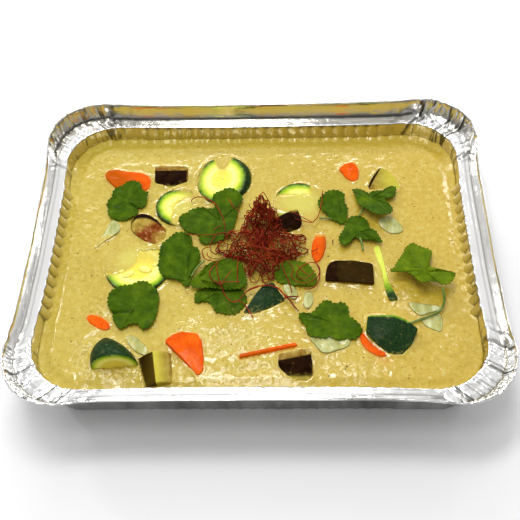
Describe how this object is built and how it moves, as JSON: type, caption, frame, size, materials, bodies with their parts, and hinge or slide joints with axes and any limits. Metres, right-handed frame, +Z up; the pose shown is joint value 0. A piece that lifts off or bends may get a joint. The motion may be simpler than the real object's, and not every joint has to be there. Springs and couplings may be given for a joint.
{
  "type": "vegetable curry in an oblong foil tray",
  "caption": "Oblong aluminium-foil tray with a stepped rim, filled with creamy green curry, sunk vegetable pieces, coriander leaves and a heap of chilli threads.",
  "frame": {"origin": "middle of the tray's base, on the surface that it stands on", "axes": "+X along the tray's long side, +Y across it towards the back, +Z up"},
  "size_m": [0.2294, 0.1794, 0.0528],
  "materials": {
    "foil": "bright thin pressed foil with fine flutes and creases",
    "sauce": "glossy cream sauce, yellow with a trace of green, finely grained",
    "carrot": "wet cut carrot",
    "courgette": "wet cut courgette: pale flesh, dark-green skin",
    "aubergine": "wet near-black aubergine skin with brown flesh",
    "onion": "translucent cooked onion",
    "coriander": "fresh leaf, soft sheen, pale veins",
    "chilli": "dry dark-red chilli threads"
  },
  "bodies": {
    "root": {"aubergine_back_left": "aubergine", "aubergine_back_right": "aubergine", "aubergine_centre": "aubergine", "aubergine_front": "aubergine", "aubergine_front_left": "aubergine", "aubergine_left": "aubergine", "aubergine_slab_right": "aubergine", "carrot_back_left": "carrot", "carrot_back_right": "carrot", "carrot_centre": "carrot", "carrot_front_left": "carrot", "carrot_front_right": "carrot", "carrot_left": "carrot", "carrot_strip": "carrot", "chilli_threads": "chilli", "courgette_chunk_centre": "courgette", "courgette_chunk_right": "courgette", "courgette_half_back": "courgette", "courgette_round_back": "courgette", "courgette_round_left": "courgette", "courgette_round_small": "courgette", "courgette_strip_right": "courgette", "courgette_wedge_left": "courgette", "foil_tray": "foil", "leaf_back_left": "coriander", "leaf_centre_dark": "coriander", "leaf_centre_light": "coriander", "leaf_front_left": "coriander", "leaf_front_right": "coriander", "leaf_mid_left": "coriander", "leaf_raised_right": "coriander", "leaf_right_a": "coriander", "leaf_right_b": "coriander", "leaf_right_c": "coriander", "leaf_under_chilli": "coriander", "leaf_upper_left": "coriander", "onion_centre": "onion", "onion_corner": "onion", "onion_front_left": "onion", "onion_front_right": "onion", "onion_left": "onion", "onion_right": "onion", "onion_small": "onion", "onion_under_leaf": "onion", "sauce": "sauce", "stem_raised_right": "coriander", "stem_right": "coriander"}
  },
  "joints": []
}
